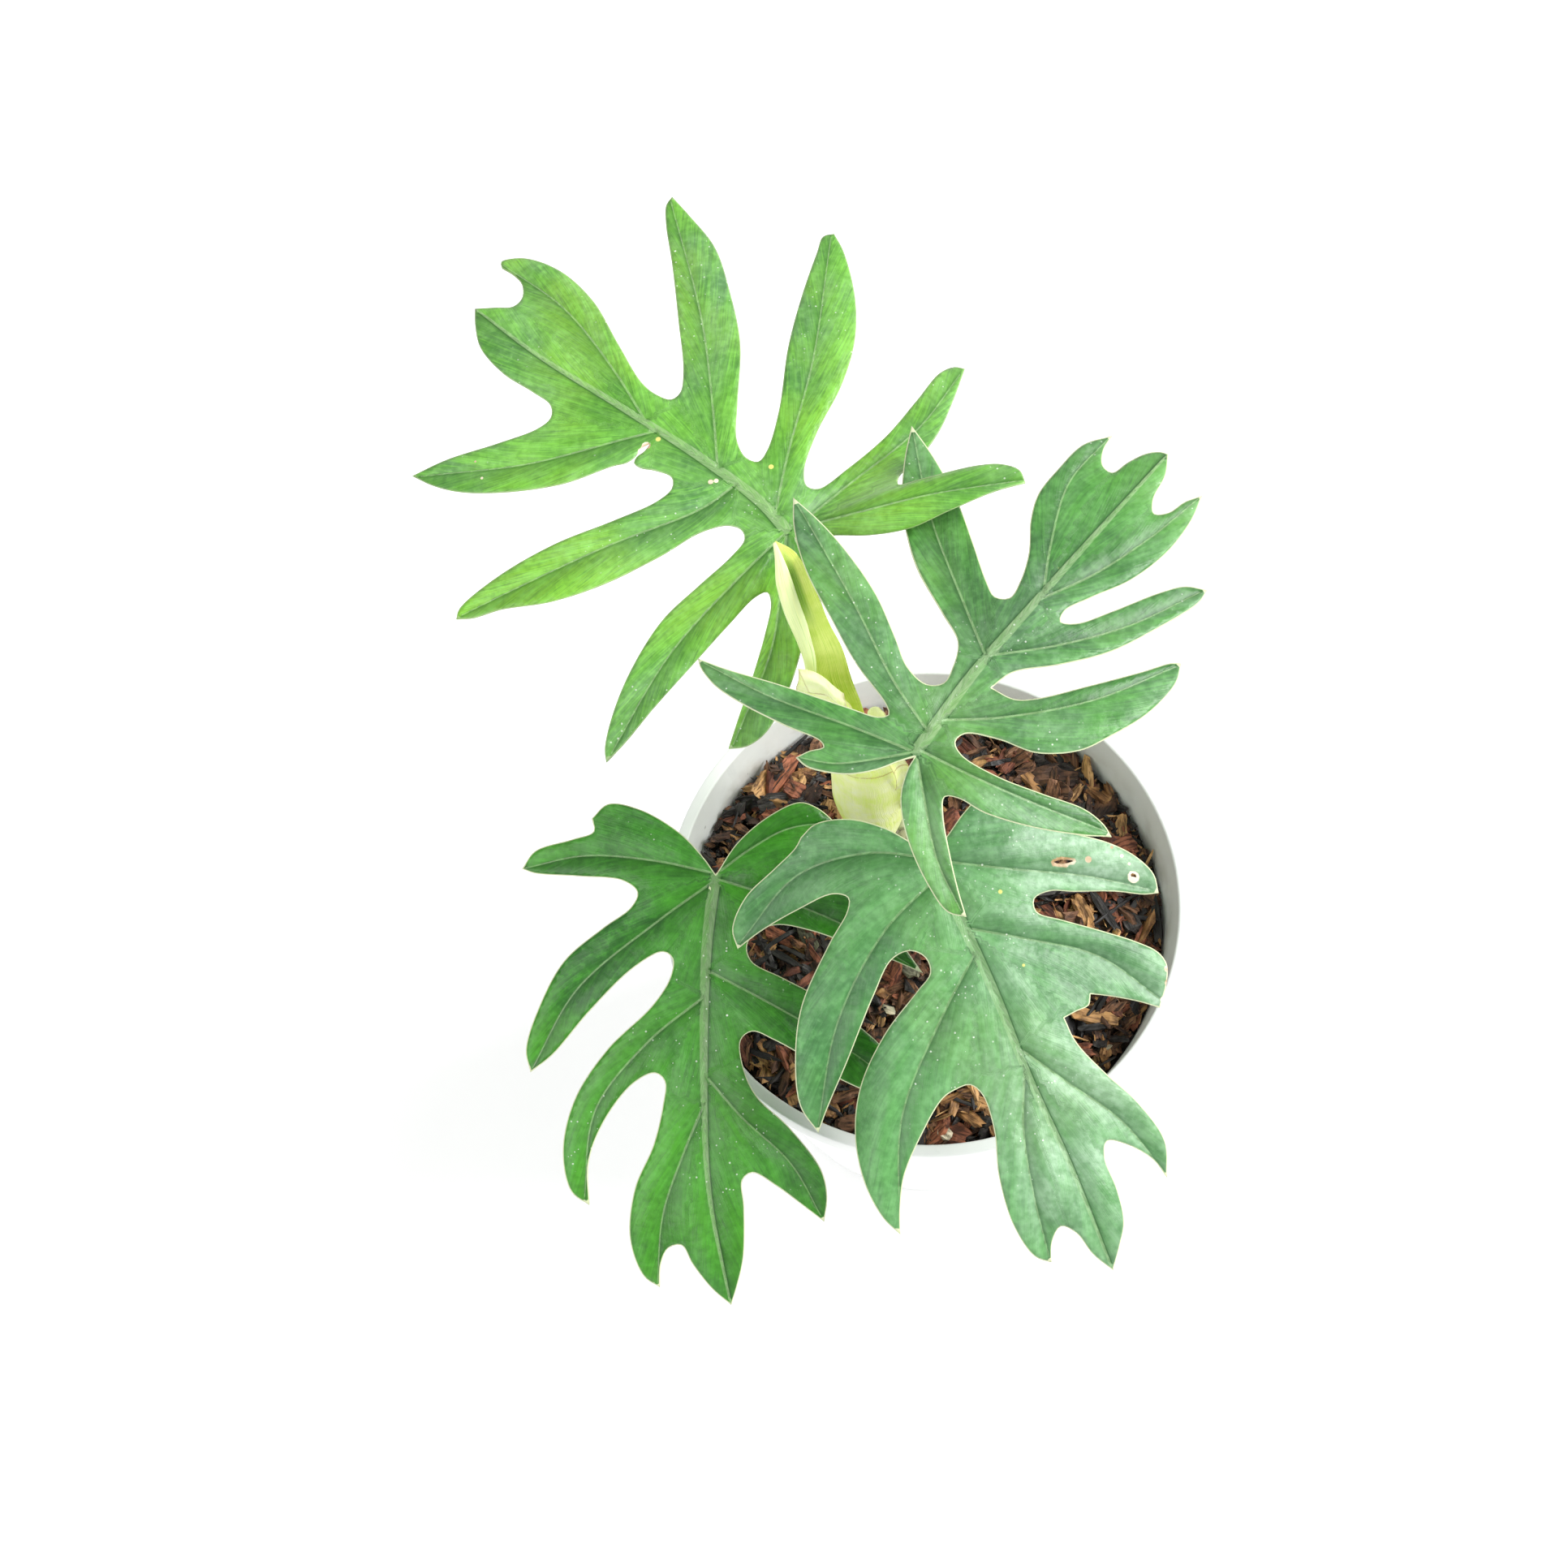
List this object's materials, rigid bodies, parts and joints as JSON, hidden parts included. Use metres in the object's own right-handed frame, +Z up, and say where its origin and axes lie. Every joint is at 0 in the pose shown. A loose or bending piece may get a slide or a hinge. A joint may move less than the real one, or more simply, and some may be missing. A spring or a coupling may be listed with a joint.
{
  "type": "potted philodendron mayoi",
  "caption": "Potted climbing aroid: a white nursery pot of bark mix with deeply cut leaves on petioles, a lime new leaf and its pale sheath.",
  "frame": {"origin": "centre of the pot's flat base, on the surface that it stands on", "axes": "+Z up along the pot's axis, -Y toward the front, +X to the right of the front view"},
  "size_m": [0.2137, 0.2952, 0.2558],
  "materials": {
    "pot": "smooth thin white plastic with a soft sheen",
    "potting_mix": "rough bark, husk and charcoal chips",
    "stem": "rough grey-brown stem with roots",
    "leaf": "satin green leaf with pale impressed veins and a thin pale margin",
    "new_leaf": "smooth lime green young leaf",
    "sheath": "thin pale yellow-green translucent scale"
  },
  "bodies": {
    "root": {"pot": "pot", "potting_mix": "potting_mix", "stem": "stem", "leaf_upper_left": "leaf", "leaf_upper_right": "leaf", "leaf_lower_right": "leaf", "leaf_lower_left": "leaf", "new_leaf": "new_leaf", "sheath": "sheath"}
  },
  "joints": []
}
